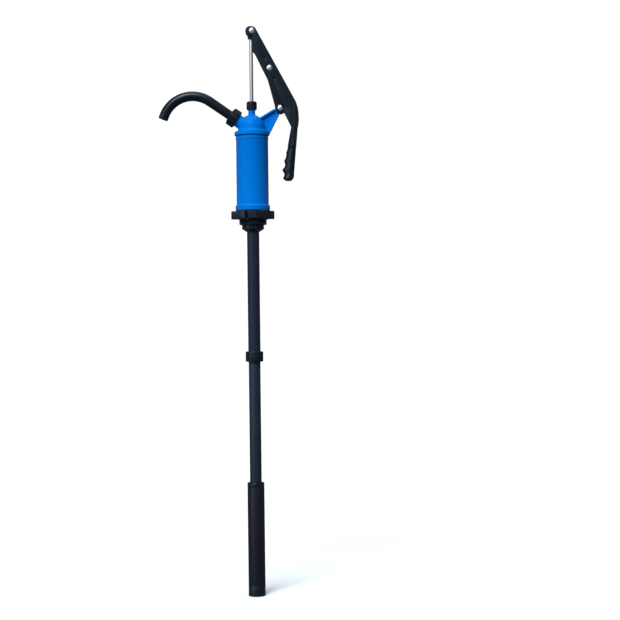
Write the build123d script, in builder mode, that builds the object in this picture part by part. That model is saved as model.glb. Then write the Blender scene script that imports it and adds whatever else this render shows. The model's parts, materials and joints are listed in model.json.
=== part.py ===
"""Lever-worked drum barrel pump: a lift pump that screws into a drum's bung.

Frame: +Z up, along the pump's axis. The origin is the centre of the bung adaptor's underside,
where it meets the drum. The spout points to -X, and the lever hangs on the +X side.
Lengths are in millimetres and angles in degrees.
"""

import math
import os

from build123d import *

os.makedirs("parts", exist_ok=True)

# ---- gaps between pieces
fit_gap = 0.15  # radial gap of a piece that is fixed in its hole
slide_gap = 0.3  # radial gap of a piece that slides or swivels past another
running_gap = 0.06  # radial gap of a bolt or rod in its bush
side_gap = 0.4  # gap beside a piece that swings between two cheeks

# ---- bung adaptor: hand ring with lugs over a 2 inch pipe thread
thread_radius = 29.8
thread_length = 12.0
ring_radius = 35.0
ring_height = 18.0
lug_count = 6
lug_reach = 45.5
lug_width = 16.0
lug_height = 17.0
lug_chamfer = 1.5
gasket_height = 1.5
gasket_land = 1.2  # flat left round the thread's root, inside the gasket
gasket_rim = 0.6  # left outside the bung gasket
barrel_gasket_inset = 6.0  # from the spigot to the barrel gasket
tube_seal_inset = 1.0

# ---- barrel
barrel_radius = 34.0
barrel_wall = 3.5
barrel_top = 181.0
floor_thickness = 6.0
foot_flange_radius = 36.5
foot_flange_height = 10.6
bead_radius = 34.6
bead_height = 4.3
bead_top = 172.8
inlet_radius = 12.0
spigot_radius = 18.0
spigot_length = 18.0  # below the ring's underside

# ---- suction tubes
tube_nut_radius = 23.25
tube_nut_height = 9.5
tube_nut_taper = 5.0
upper_tube_radius = 13.0
middle_tube_radius = 12.5
tube_wall = 2.0
tube_flange_height = 2.0
coupling_top = -280.0
coupling_height = 22.0
coupling_radius = 18.75
coupling_stop = 2.0
coupling_chamfer = 1.0
coupling_seal_depth = 5.0  # from each end to its seal
seal_section = 2.4
seal_depth = 1.6
lower_tube_radius = 18.0
lower_tube_wall = 2.0
lower_tube_top = -557.6
lower_tube_foot = -797.0
tube_cap_height = 10.2
tube_cap_spigot = 14.0
tube_cap_chamfer = 1.0
stop_collar_height = 12.0
stop_collar_play = 0.5
strainer_height = 21.0
strainer_spigot = 10.0
strainer_slot = 8.0
strainer_bar = 2.0
strainer_wall = 3.0  # of the spigot
strainer_overlap = 1.0  # of the grid's bars into the spigot

# ---- valve at the foot of the barrel
seat_radius = 20.0
seat_bore = 9.0
seat_height = 2.0
foot_disc_radius = 14.0
foot_disc_height = 3.0
cage_foot_height = 1.5
cage_post_radius = 1.5
cage_post_count = 3
cage_height = 12.0
cage_top_height = 2.0
cage_mouth_radius = 11.0
cage_rim = 0.7  # of the top ring outside its posts
cage_screw_radius = 1.25
cage_screw_head_radius = 1.9
cage_screw_head_height = 1.75

# ---- piston on its rod
rod_radius = 4.0
rod_foot = 157.0
piston_bottom = 156.0
piston_height = 14.0
piston_hole_circle = 17.0
piston_hole_radius = 3.2
piston_hole_count = 8
piston_body_gap = 0.5  # of the piston inside its rings' running face
ring_groove_heights = (2.5, 8.5)  # above the piston's bottom
ring_groove_depth = 3.2
ring_groove_height = 3.0
piston_nut_flats = 13.0
piston_nut_height = 6.5
nut_recess_room = 1.0  # beside the nut's corners
nut_recess_play = 0.5  # above the nut's face
piston_disc_radius = 23.0
piston_disc_height = 2.0
valve_sleeve_radius = 6.0
valve_sleeve_height = 6.0
valve_stop_radius = 15.0
valve_stop_height = 2.0
circlip_height = 1.2
circlip_depth = 0.6
circlip_width = 2.5  # outside the rod

# ---- pump head
head_flange_radius = 37.0
head_flange_bottom = 177.0
head_flange_height = 7.4
head_gasket_height = 2.0
dome_radius = 28.2
dome_centre = 193.0
dome_wall = 3.5
neck_radius = 7.4
neck_top = 245.0
neck_root = 222.5
gland_radius = 5.75
gland_floor = 223.0
bush_height = 7.0
packing_height = 3.0
packing_count = 3
packing_parting = 0.05  # between one packing ring and the next
gland_nut_radius = 11.0
gland_nut_bottom = 231.0
gland_nut_top = 249.0
gland_nut_foot_chamfer = 1.5
gland_nut_top_chamfer = 1.0
gland_nut_play = 0.6  # round the rod
follower_flange_height = 2.0
follower_flange_inset = 0.2
throat_gap = 0.5  # round the rod, under the gland
dome_arc_middle = 0.6  # radians above level, where the dome's arc is fixed
cavity_arc_middle = 0.7

# ---- outlet and spout, measured along the outlet's own axis from the pump's axis
outlet_rise = 35.0  # degrees above level
outlet_height = 188.0
outlet_radius = 13.5
outlet_bore = 9.2
outlet_length = 50.0
outlet_root = 10.0
outlet_root_fillet = 4.0
union_nut_radius = 19.5
union_nut_start = 38.0
union_nut_end = 55.6
union_nut_lip = 2.3
spout_flange_height = 2.7
outlet_seal_height = 0.9
outlet_seal_inset = 0.5
spout_flange_gap = 0.1  # from the seal to the spout's flange
spout_flange_inset = 0.2
spout_root_radius = 9.75
spout_radius = 10.4
spout_bore = 8.2
spout_straight_end = 108.5
spout_bend_radius = 64.0
spout_bend_angle = 104.0
spout_mouth_length = 8.0

# ---- linkage, as (X, Z) of each pivot
rod_pivot = (2.5, 397.0)
link_pivot = (39.0, 318.0)
ear_pivot = (61.0, 234.0)
bolt_radius = 3.0
bolt_head_radius = 6.5
bolt_head_height = 3.4
bolt_head_rounding = 0.8  # share of the head's height
nut_flats = 10.0
nut_height = 5.0
bolt_tail = 1.0
cheek_thickness = 4.0
link_thickness = 4.0
ear_half_width = 6.0
ear_radius = 9.5
bush_wall = 2.0
bracket_web = 4.0  # half width
bracket_flange_half_width = 10.0
bracket_flange_thickness = 3.5
bracket_top = ((22.9, 217.5), (47.0, 232.0))
bracket_foot = ((38.2, 182.3), (60.4, 225.6))
bracket_root = (10.0, 200.0)  # where the web starts, inside the dome
bracket_root_foot = (30.0, 180.0)
top_flange_root = -14.0  # along each flange's line, from its first point
foot_flange_root = -4.0
foot_flange_length = 42.0
link_foot_radius = 11.5
link_head_radius = 7.0
link_left_half_width = 10.2
link_fork_depth = 52.0
link_neck_length = 18.0  # where the outer edge turns, from the upper pivot
link_heel_length = 12.0  # where it turns again, before the lower pivot
link_heel_step = 2.0  # of the inner edge, inside the foot's radius
rod_end_radius = 10.5
rod_end_offset = 3.5  # boss centre from the pivot, away from the lever
rod_end_shank_radius = 7.0
rod_end_bottom = 381.6
rod_top = 390.0
lever_head_radius = 9.3
lever_web = 3.5
web_start = 14.0  # along the arm, from the rod pivot
window_start = 50.0
window_end = 97.0
window_outer = 5.0  # beyond the outer edge
window_inner = 30.0  # inside it
channel_lead = 40.0  # of the channel beyond the head end
channel_inner = 60.0
channel_outer = 20.0
channel_end_gap = 2.0  # between the channel's end and the elbow
ear_relief = 3.0  # round the link's foot
bolt_relief = 2.0  # round the ear bolt's head
head_arc_middle = (-8.37, -4.0)  # along the arm and beside it, on the lever's rounded end
grip_top = 154.5
grip_bottom = 80.6
grip_half_width = 14.0
grip_round = 3.0
tang_inset = 4.0
tang_half_width = 6.0
mark_distance = 24.0
mark_radius = 2.3
mark_depth = 2.0

# ---- sizes that follow from the ones above
barrel_bore = barrel_radius - barrel_wall
floor_top = ring_height + floor_thickness
piston_top = piston_bottom + piston_height
seat_top = floor_top + seat_height
cage_foot_radius = foot_disc_radius + 1.5
cage_post_circle = cage_foot_radius + 1.0
link_half_width = ear_half_width + side_gap + link_thickness
cheek_inside = link_half_width + side_gap
cheek_outside = cheek_inside + cheek_thickness
gland_inside_radius = gland_radius - fit_gap
bush_radius = bolt_radius + running_gap + bush_wall
gasket_inner = thread_radius + gasket_land
bung_gasket_outer = ring_radius - gasket_rim
barrel_gasket_inner = spigot_radius + barrel_gasket_inset
spigot_foot = -spigot_length
tube_flange_top = spigot_foot - gasket_height
tube_flange_bottom = tube_flange_top - tube_flange_height
tube_nut_bottom = -thread_length - tube_nut_height
coupling_bottom = coupling_top - coupling_height
coupling_middle = coupling_top - coupling_height / 2
cap_bottom = lower_tube_top - tube_cap_height
cap_spigot_bottom = cap_bottom - tube_cap_spigot
stop_collar_top = cap_spigot_bottom - stop_collar_play
middle_tube_foot = stop_collar_top - stop_collar_height
lower_tube_bore = lower_tube_radius - lower_tube_wall
strainer_top = lower_tube_foot + strainer_height
upper_tube_bore = upper_tube_radius - tube_wall
middle_tube_bore = middle_tube_radius - tube_wall


def turned(outline, mode=Mode.ADD):
    """Turn a closed half outline, given as (radius, height) points, about the vertical axis."""
    with BuildSketch(Plane.XZ) as half:
        with BuildLine():
            Polyline(*outline, close=True)
        make_face()
    revolve(half.sketch, axis=Axis.Z, mode=mode)


def ring(outer, inner, bottom, height, mode=Mode.ADD):
    """A plain upright ring."""
    with BuildSketch(Plane.XY.offset(bottom)) as face:
        Circle(outer)
        if inner > 0:
            Circle(inner, mode=Mode.SUBTRACT)
    extrude(face.sketch, amount=height, mode=mode)


def cross_pin(pivot, radius, start, end, mode=Mode.ADD):
    """A round bar or hole along Y through a pivot, from one Y to another."""
    with BuildSketch(Plane((pivot[0], start, pivot[1]), x_dir=(1, 0, 0), z_dir=(0, 1, 0))) as face:
        Circle(radius)
    extrude(face.sketch, amount=end - start, mode=mode)


def cross_nut(pivot, start, height):
    """A hexagon nut on a cross bolt, from one Y outward."""
    nut_plane = Plane((pivot[0], start, pivot[1]), x_dir=(1, 0, 0), z_dir=(0, 1, 0))
    with BuildSketch(nut_plane) as face:
        RegularPolygon(nut_flats / 2, 6, major_radius=False)
        Circle(bolt_radius, mode=Mode.SUBTRACT)
    extrude(face.sketch, amount=height)


def headed_bolt(pivot, face_y, end_y):
    """A bolt along Y through a pivot, with a low rounded head that stands on a face towards -Y."""
    with BuildSketch(Plane((pivot[0], face_y, pivot[1]), x_dir=(1, 0, 0), z_dir=(0, -1, 0))) as face:
        Circle(bolt_head_radius)
    extrude(face.sketch, amount=bolt_head_height)
    fillet(faces().sort_by(Axis.Y)[0].edges(), bolt_head_height * bolt_head_rounding)
    cross_pin(pivot, bolt_radius, face_y - bolt_head_height / 2, end_y)


def between(start, end, distance, side=0.0):
    """A point so far along the line from start to end, and so far to its left."""
    length = math.dist(start, end)
    along = ((end[0] - start[0]) / length, (end[1] - start[1]) / length)
    return (
        start[0] + along[0] * distance - along[1] * side,
        start[1] + along[1] * distance + along[0] * side,
    )


def around(centre, radius, angle):
    """A point on a circle, at an angle in radians from +X."""
    return (centre[0] + radius * math.cos(angle), centre[1] + radius * math.sin(angle))


# ==== bung adaptor and what seals it ====

with BuildPart() as bung_adaptor:
    with BuildSketch():
        Circle(ring_radius)
    extrude(amount=ring_height)
    with BuildSketch():
        with PolarLocations(lug_reach / 2, lug_count):
            Rectangle(lug_reach, lug_width)
    extrude(amount=lug_height)
    lug_rims = bung_adaptor.faces().filter_by(Axis.Z).group_by(Axis.Z)[-2].edges()
    lug_rims = lug_rims.sort_by(lambda edge: edge.center().X**2 + edge.center().Y**2)
    chamfer(lug_rims[-lug_count:], lug_chamfer)
    with BuildSketch():
        Circle(thread_radius)
    extrude(amount=-thread_length)
    ring(bung_gasket_outer + fit_gap, gasket_inner - fit_gap, 0, gasket_height, Mode.SUBTRACT)
    ring(spigot_radius + fit_gap, 0, -thread_length, thread_length + ring_height, Mode.SUBTRACT)
    ring(barrel_bore, barrel_gasket_inner, ring_height - gasket_height, gasket_height, Mode.SUBTRACT)

with BuildPart() as bung_gasket:
    ring(bung_gasket_outer, gasket_inner, 0, gasket_height)

with BuildPart() as barrel_gasket:
    ring(barrel_bore - fit_gap, barrel_gasket_inner + fit_gap, ring_height - gasket_height, gasket_height)

# ==== barrel ====

with BuildPart() as barrel:
    turned(
        (
            (inlet_radius, spigot_foot),
            (spigot_radius, spigot_foot),
            (spigot_radius, ring_height),
            (foot_flange_radius, ring_height),
            (foot_flange_radius, ring_height + foot_flange_height),
            (barrel_radius, ring_height + foot_flange_height),
            (barrel_radius, bead_top - bead_height),
            (bead_radius, bead_top - bead_height),
            (bead_radius, bead_top),
            (barrel_radius, bead_top),
            (barrel_radius, barrel_top),
            (barrel_bore, barrel_top),
            (barrel_bore, floor_top),
            (inlet_radius, floor_top),
        )
    )
    with BuildSketch(Plane.XY.offset(floor_top)):
        with PolarLocations((cage_post_circle + seat_radius) / 2, cage_post_count):
            Circle(cage_screw_radius)
    extrude(amount=-floor_thickness / 2, mode=Mode.SUBTRACT)

# ==== foot valve, screwed to the barrel's floor ====

cage_screw_circle = (cage_post_circle + seat_radius) / 2
cage_foot_top = seat_top + cage_foot_height
cage_top = seat_top + cage_height

with BuildPart() as foot_valve_seat:
    ring(seat_radius, seat_bore, floor_top, seat_height)
    with BuildSketch(Plane.XY.offset(floor_top)):
        with PolarLocations(cage_screw_circle, cage_post_count):
            Circle(cage_screw_radius)
    extrude(amount=seat_height, mode=Mode.SUBTRACT)

with BuildPart() as foot_valve_cage:
    ring(seat_radius, cage_foot_radius, seat_top, cage_foot_height)
    with BuildSketch(Plane.XY.offset(seat_top)):
        with PolarLocations(cage_post_circle, cage_post_count, start_angle=180 / cage_post_count):
            Circle(cage_post_radius)
    extrude(amount=cage_height - cage_top_height)
    cage_radius = cage_post_circle + cage_post_radius + cage_rim
    ring(cage_radius, cage_mouth_radius, cage_top - cage_top_height, cage_top_height)
    with BuildSketch(Plane.XY.offset(seat_top)):
        with PolarLocations(cage_screw_circle, cage_post_count):
            Circle(cage_screw_radius)
    extrude(amount=cage_foot_height, mode=Mode.SUBTRACT)

with BuildPart() as cage_screws:
    with BuildSketch(Plane.XY.offset(floor_top - floor_thickness / 2)):
        with PolarLocations(cage_screw_circle, cage_post_count):
            Circle(cage_screw_radius)
    extrude(amount=floor_thickness / 2 + seat_height + cage_foot_height)
    with BuildSketch(Plane.XY.offset(cage_foot_top)):
        with PolarLocations(cage_screw_circle, cage_post_count):
            Circle(cage_screw_head_radius)
    extrude(amount=cage_screw_head_height)

with BuildPart() as foot_valve_disc:
    ring(foot_disc_radius, 0, seat_top, foot_disc_height)

# ==== suction tubes ====

with BuildPart() as tube_nut:
    turned(
        (
            (spigot_radius + fit_gap, -thread_length),
            (tube_nut_radius, -thread_length),
            (tube_nut_radius, tube_nut_bottom),
            (upper_tube_radius + fit_gap + tube_wall, tube_nut_bottom - tube_nut_taper),
            (upper_tube_radius + fit_gap, tube_nut_bottom - tube_nut_taper),
            (upper_tube_radius + fit_gap, tube_flange_bottom),
            (spigot_radius + fit_gap, tube_flange_bottom),
        )
    )

with BuildPart() as tube_seal:
    ring(spigot_radius - tube_seal_inset, inlet_radius, tube_flange_top, gasket_height)

with BuildPart() as upper_tube:
    upper_tube_foot = coupling_middle + coupling_stop / 2
    ring(upper_tube_radius, upper_tube_bore, upper_tube_foot, tube_flange_top - upper_tube_foot)
    ring(spigot_radius, upper_tube_bore, tube_flange_bottom, tube_flange_height)

coupling_grooves = (
    (upper_tube_radius, coupling_top - coupling_seal_depth),
    (middle_tube_radius, coupling_bottom + coupling_seal_depth),
)

with BuildPart() as tube_coupling:
    turned(
        (
            (upper_tube_radius, coupling_top),
            (coupling_radius - coupling_chamfer, coupling_top),
            (coupling_radius, coupling_top - coupling_chamfer),
            (coupling_radius, coupling_bottom + coupling_chamfer),
            (coupling_radius - coupling_chamfer, coupling_bottom),
            (middle_tube_radius, coupling_bottom),
            (middle_tube_radius, coupling_middle - coupling_stop / 2),
            (middle_tube_bore, coupling_middle - coupling_stop / 2),
            (middle_tube_bore, coupling_middle + coupling_stop / 2),
            (upper_tube_radius, coupling_middle + coupling_stop / 2),
        )
    )
    for bore, height in coupling_grooves:
        ring(bore + seal_section, bore, height - seal_section / 2, seal_section, Mode.SUBTRACT)

with BuildPart() as coupling_seals:
    for bore, height in coupling_grooves:
        ring(bore + seal_section - fit_gap, bore, height - seal_section / 2, seal_section)

with BuildPart() as middle_tube:
    middle_tube_top = coupling_middle - coupling_stop / 2
    ring(middle_tube_radius, middle_tube_bore, middle_tube_foot, middle_tube_top - middle_tube_foot)

collar_radius = lower_tube_bore - slide_gap
collar_groove = (stop_collar_top + middle_tube_foot) / 2 - seal_section / 2

with BuildPart() as stop_collar:
    ring(collar_radius, middle_tube_radius, middle_tube_foot, stop_collar_height)
    ring(collar_radius, collar_radius - seal_depth, collar_groove, seal_section, Mode.SUBTRACT)

with BuildPart() as stop_collar_seal:
    ring(collar_radius, collar_radius - seal_depth, collar_groove, seal_section)

with BuildPart() as lower_tube:
    ring(lower_tube_radius, lower_tube_bore, strainer_top, cap_bottom - strainer_top)

cap_bore = middle_tube_radius + slide_gap
cap_groove = cap_bottom - tube_cap_spigot / 2

with BuildPart() as tube_cap:
    ring(lower_tube_radius, cap_bore, cap_bottom, tube_cap_height)
    chamfer(tube_cap.faces().sort_by(Axis.Z)[-1].edges().sort_by(SortBy.RADIUS)[-1], tube_cap_chamfer)
    ring(lower_tube_bore - fit_gap, cap_bore, cap_spigot_bottom, tube_cap_spigot)
    ring(cap_bore + seal_depth, cap_bore, cap_groove, seal_section, Mode.SUBTRACT)

with BuildPart() as slide_seal:
    ring(cap_bore + seal_depth, cap_bore, cap_groove, seal_section)

strainer_bore = lower_tube_bore - strainer_wall
strainer_grid_radius = strainer_bore + strainer_overlap

with BuildPart() as foot_strainer:
    ring(lower_tube_radius, strainer_bore, lower_tube_foot, strainer_height)
    ring(lower_tube_bore - fit_gap, strainer_bore, strainer_top, strainer_spigot)
    with BuildSketch(Plane.XY.offset(strainer_top)):
        with GridLocations(0, strainer_slot, 1, 3):
            Rectangle(2 * (strainer_grid_radius), strainer_bar)
        with GridLocations(strainer_slot, 0, 3, 1):
            Rectangle(strainer_bar, 2 * (strainer_grid_radius))
        Circle(strainer_grid_radius, mode=Mode.INTERSECT)
    extrude(amount=strainer_bar)

# ==== piston on its rod ====

nut_recess_radius = piston_nut_flats / math.sqrt(3) + nut_recess_room
nut_recess_top = piston_bottom + piston_nut_height + nut_recess_play
piston_ring_radius = barrel_bore - slide_gap
piston_radius = piston_ring_radius - piston_body_gap
groove_bottoms = tuple(piston_bottom + height for height in ring_groove_heights)
stop_bottom = piston_top + valve_sleeve_height
stop_top = stop_bottom + valve_stop_height

with BuildPart() as piston:
    ring(piston_radius, rod_radius + fit_gap, piston_bottom, piston_height)
    ring(nut_recess_radius, 0, piston_bottom, nut_recess_top - piston_bottom, Mode.SUBTRACT)
    with BuildSketch(Plane.XY.offset(piston_bottom)):
        with PolarLocations(piston_hole_circle, piston_hole_count):
            Circle(piston_hole_radius)
    extrude(amount=piston_height, mode=Mode.SUBTRACT)
    for groove in groove_bottoms:
        ring(piston_radius, piston_radius - ring_groove_depth, groove, ring_groove_height, Mode.SUBTRACT)

with BuildPart() as piston_rings:
    for groove in groove_bottoms:
        ring(piston_ring_radius, piston_radius - ring_groove_depth + fit_gap, groove, ring_groove_height)

with BuildPart() as piston_nut:
    with BuildSketch(Plane.XY.offset(nut_recess_top)):
        RegularPolygon(piston_nut_flats / 2, 6, major_radius=False)
        Circle(rod_radius, mode=Mode.SUBTRACT)
    extrude(amount=-piston_nut_height)

with BuildPart() as piston_rod:
    ring(rod_radius, 0, rod_foot, rod_top - rod_foot)
    ring(rod_radius, rod_radius - circlip_depth, stop_top, circlip_height, Mode.SUBTRACT)

with BuildPart() as rod_circlip:
    ring(rod_radius + circlip_width, rod_radius - circlip_depth + fit_gap, stop_top, circlip_height)

with BuildPart() as valve_stop:
    ring(valve_sleeve_radius, rod_radius + fit_gap, piston_top, valve_sleeve_height)
    ring(valve_stop_radius, rod_radius + fit_gap, stop_bottom, valve_stop_height)

with BuildPart() as piston_valve:
    ring(piston_disc_radius, valve_sleeve_radius + slide_gap, piston_top, piston_disc_height)

# ==== pump head ====

outlet_way = (-math.cos(math.radians(outlet_rise)), 0, math.sin(math.radians(outlet_rise)))
outlet_side = (math.sin(math.radians(outlet_rise)), 0, math.cos(math.radians(outlet_rise)))


def outlet_plane(distance):
    """The plane across the outlet's axis, so far out from the pump's axis."""
    place = (outlet_way[0] * distance, 0, outlet_height + outlet_way[2] * distance)
    return Plane(place, x_dir=outlet_side, z_dir=outlet_way)


def outlet_ring(outer, inner, start, end, mode=Mode.ADD):
    """A plain ring on the outlet's axis, between two distances."""
    with BuildSketch(outlet_plane(start)) as face:
        Circle(outer)
        if inner > 0:
            Circle(inner, mode=Mode.SUBTRACT)
    extrude(face.sketch, amount=end - start, mode=mode)


head_top_edge = head_flange_bottom + head_flange_height
head_ceiling = barrel_top + head_gasket_height
socket_radius = barrel_radius + fit_gap
flare_radius = 11.0
flare_height = dome_centre + math.sqrt(dome_radius**2 - flare_radius**2)
cavity_radius = dome_radius - dome_wall
throat_radius = rod_radius + throat_gap
throat_bottom = dome_centre + math.sqrt(cavity_radius**2 - throat_radius**2)

with BuildPart() as pump_head:
    with BuildSketch(Plane.XZ):
        with BuildLine():
            Line((0, head_flange_bottom), (head_flange_radius, head_flange_bottom))
            Line((head_flange_radius, head_flange_bottom), (head_flange_radius, head_top_edge))
            Spline(
                (head_flange_radius, head_top_edge),
                (dome_radius, dome_centre),
                tangents=((-1, 0.35), (0, 1)),
            )
            ThreePointArc(
                (dome_radius, dome_centre),
                around((0, dome_centre), dome_radius, dome_arc_middle),
                (flare_radius, flare_height),
            )
            Spline(
                (flare_radius, flare_height),
                (neck_radius, neck_root + 1),
                tangents=((-flare_height + dome_centre, flare_radius), (0, 1)),
            )
            Line((neck_radius, neck_root + 1), (neck_radius, neck_top))
            Line((neck_radius, neck_top), (0, neck_top))
            Line((0, neck_top), (0, head_flange_bottom))
        make_face()
    revolve(axis=Axis.Z)
    outlet_ring(outlet_radius, 0, outlet_root, outlet_length)
    curves = [edge for edge in edges() if edge.geom_type == GeomType.BSPLINE]
    root_edges = [edge for edge in curves if edge.length > outlet_radius]
    fillet(root_edges, outlet_root_fillet)
    with BuildSketch(Plane.XZ):
        with BuildLine():
            Polyline(
                bracket_root,
                bracket_top[0],
                bracket_top[1],
                ear_pivot,
                bracket_foot[1],
                bracket_foot[0],
                bracket_root_foot,
                close=True,
            )
        make_face()
    extrude(amount=bracket_web, both=True)
    with BuildSketch(Plane.XZ):
        with Locations(ear_pivot):
            Circle(ear_radius)
    extrude(amount=ear_half_width, both=True)
    with BuildSketch(Plane.XZ):
        with BuildLine():
            Polyline(
                between(*bracket_top, top_flange_root),
                bracket_top[1],
                between(*bracket_top, math.dist(*bracket_top), -bracket_flange_thickness),
                between(*bracket_top, top_flange_root, -bracket_flange_thickness),
                close=True,
            )
        make_face()
        with BuildLine():
            Polyline(
                between(*bracket_foot, foot_flange_root),
                between(*bracket_foot, foot_flange_length),
                between(*bracket_foot, foot_flange_length, bracket_flange_thickness),
                between(*bracket_foot, foot_flange_root, bracket_flange_thickness),
                close=True,
            )
        make_face()
    extrude(amount=bracket_flange_half_width, both=True)
    with BuildSketch(Plane.XZ):
        with BuildLine():
            Line((0, head_flange_bottom), (socket_radius, head_flange_bottom))
            Line((socket_radius, head_flange_bottom), (socket_radius, head_ceiling))
            Line((socket_radius, head_ceiling), (barrel_bore, head_ceiling))
            Line((barrel_bore, head_ceiling), (cavity_radius, dome_centre))
            ThreePointArc(
                (cavity_radius, dome_centre),
                around((0, dome_centre), cavity_radius, cavity_arc_middle),
                (throat_radius, throat_bottom),
            )
            Line((throat_radius, throat_bottom), (throat_radius, gland_floor))
            Line((throat_radius, gland_floor), (gland_radius, gland_floor))
            Line((gland_radius, gland_floor), (gland_radius, neck_top))
            Line((gland_radius, neck_top), (0, neck_top))
            Line((0, neck_top), (0, head_flange_bottom))
        make_face()
    revolve(axis=Axis.Z, mode=Mode.SUBTRACT)
    outlet_ring(outlet_bore, 0, outlet_root, outlet_length, Mode.SUBTRACT)
    cross_pin(ear_pivot, bush_radius + fit_gap, -ear_half_width, ear_half_width, Mode.SUBTRACT)

with BuildPart() as head_gasket:
    ring(barrel_radius, barrel_bore, barrel_top, head_gasket_height)

with BuildPart() as ear_bush:
    cross_pin(ear_pivot, bush_radius, -ear_half_width, ear_half_width)
    cross_pin(ear_pivot, bolt_radius + running_gap, -ear_half_width, ear_half_width, Mode.SUBTRACT)

# ==== gland ====

packing_bottom = gland_floor + bush_height
packing_top = packing_bottom + packing_count * packing_height
follower_top = neck_top + follower_flange_height

with BuildPart() as gland_bush:
    ring(gland_inside_radius, rod_radius + running_gap, gland_floor, bush_height)

with BuildPart() as gland_packing:
    for turn in range(packing_count):
        turn_bottom = packing_bottom + turn * packing_height
        ring(gland_inside_radius, rod_radius + slide_gap, turn_bottom, packing_height - packing_parting)

with BuildPart() as gland_follower:
    ring(gland_inside_radius, rod_radius + slide_gap, packing_top, neck_top - packing_top)
    ring(neck_radius - follower_flange_inset, rod_radius + slide_gap, neck_top, follower_flange_height)

with BuildPart() as gland_nut:
    ring(gland_nut_radius, rod_radius + gland_nut_play, gland_nut_bottom, gland_nut_top - gland_nut_bottom)
    for side, width in ((0, gland_nut_foot_chamfer), (-1, gland_nut_top_chamfer)):
        chamfer(gland_nut.faces().sort_by(Axis.Z)[side].edges().sort_by(SortBy.RADIUS)[-1], width)
    ring(neck_radius + fit_gap, 0, gland_nut_bottom, follower_top - gland_nut_bottom, Mode.SUBTRACT)

# ==== union nut and spout ====

spout_flange_start = outlet_length + outlet_seal_height + spout_flange_gap
spout_flange_end = outlet_length + spout_flange_height
bend_turn = math.radians(spout_bend_angle)
bend_start_angle = math.radians(90 - outlet_rise)  # of the centre-to-path line, from +X
bend_start = (outlet_way[0] * spout_straight_end, outlet_height + outlet_way[2] * spout_straight_end)
bend_centre = around(bend_start, -spout_bend_radius, bend_start_angle)
bend_middle = around(bend_centre, spout_bend_radius, bend_start_angle + bend_turn / 2)
bend_end = around(bend_centre, spout_bend_radius, bend_start_angle + bend_turn)
mouth_way = (-math.sin(bend_start_angle + bend_turn), 0, math.cos(bend_start_angle + bend_turn))
mouth_side = (math.cos(bend_start_angle + bend_turn), 0, math.sin(bend_start_angle + bend_turn))
bend_start_plane = outlet_plane(spout_straight_end)
bend_end_plane = Plane((bend_end[0], 0, bend_end[1]), x_dir=mouth_side, z_dir=mouth_way)

with BuildPart() as union_nut:
    outlet_ring(union_nut_radius, outlet_radius, union_nut_start, union_nut_end)
    outlet_ring(outlet_radius + slide_gap, 0, outlet_length, union_nut_end - union_nut_lip, Mode.SUBTRACT)
    outlet_ring(outlet_radius, spout_root_radius + slide_gap, union_nut_end - union_nut_lip, union_nut_end)

with BuildPart() as outlet_seal:
    seal_end = outlet_length + outlet_seal_height
    outlet_ring(outlet_radius - outlet_seal_inset, outlet_bore, outlet_length, seal_end)

with BuildPart() as spout:
    outlet_ring(outlet_radius - spout_flange_inset, 0, spout_flange_start, spout_flange_end)
    outlet_ring(spout_root_radius, 0, spout_flange_end, union_nut_end)
    with BuildSketch(outlet_plane(union_nut_end)):
        Circle(spout_root_radius)
    with BuildSketch(bend_start_plane):
        Circle(spout_radius)
    loft()
    with BuildLine():
        bend_path = ThreePointArc(
            (bend_start[0], 0, bend_start[1]),
            (bend_middle[0], 0, bend_middle[1]),
            (bend_end[0], 0, bend_end[1]),
        )
    with BuildSketch(bend_start_plane) as bend_section:
        Circle(spout_radius)
    sweep(bend_section.sketch, path=bend_path)
    with BuildSketch(bend_end_plane) as mouth_section:
        Circle(spout_radius)
    extrude(mouth_section.sketch, amount=spout_mouth_length)
    outlet_ring(spout_bore, 0, outlet_length, spout_straight_end, Mode.SUBTRACT)
    with BuildSketch(bend_start_plane) as bore_section:
        Circle(spout_bore)
    sweep(bore_section.sketch, path=bend_path, mode=Mode.SUBTRACT)
    with BuildSketch(bend_end_plane) as mouth_bore:
        Circle(spout_bore)
    extrude(mouth_bore.sketch, amount=spout_mouth_length, mode=Mode.SUBTRACT)

# ==== link between the head's ear and the lever ====

link_length = math.dist(link_pivot, ear_pivot)
link_way = ((ear_pivot[0] - link_pivot[0]) / link_length, (ear_pivot[1] - link_pivot[1]) / link_length)
link_plane = Plane(
    (link_pivot[0], 0, link_pivot[1]), x_dir=(link_way[0], 0, link_way[1]), z_dir=(0, -1, 0)
)

link_heel = link_length - link_heel_length
link_inner_edge = link_foot_radius - link_heel_step

with BuildPart() as link:
    with BuildSketch(link_plane):
        with BuildLine():
            ThreePointArc((0, link_head_radius), (-link_head_radius, 0), (0, -link_head_radius))
            Line((0, -link_head_radius), (link_neck_length, -link_left_half_width))
            Line((link_neck_length, -link_left_half_width), (link_heel, -link_left_half_width))
            Line((link_heel, -link_left_half_width), (link_length, -link_foot_radius))
            ThreePointArc(
                (link_length, -link_foot_radius),
                (link_length + link_foot_radius, 0),
                (link_length, link_inner_edge),
            )
            Line((link_length, link_inner_edge), (0, link_head_radius))
        make_face()
    extrude(amount=link_half_width, both=True)
    with BuildSketch(link_plane):
        with Locations((link_length, 0)):
            Rectangle(2 * link_fork_depth, 4 * link_foot_radius)
    extrude(amount=ear_half_width + side_gap, both=True, mode=Mode.SUBTRACT)
    for pivot in (link_pivot, ear_pivot):
        cross_pin(pivot, bolt_radius + fit_gap, -link_half_width, link_half_width, Mode.SUBTRACT)

with BuildPart() as ear_bolt:
    headed_bolt(ear_pivot, -link_half_width, link_half_width + nut_height + bolt_tail)

with BuildPart() as ear_nut:
    cross_nut(ear_pivot, link_half_width, nut_height)

# ==== rod end ====

rod_end_centre = (rod_pivot[0] - rod_end_offset, rod_pivot[1])

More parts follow.
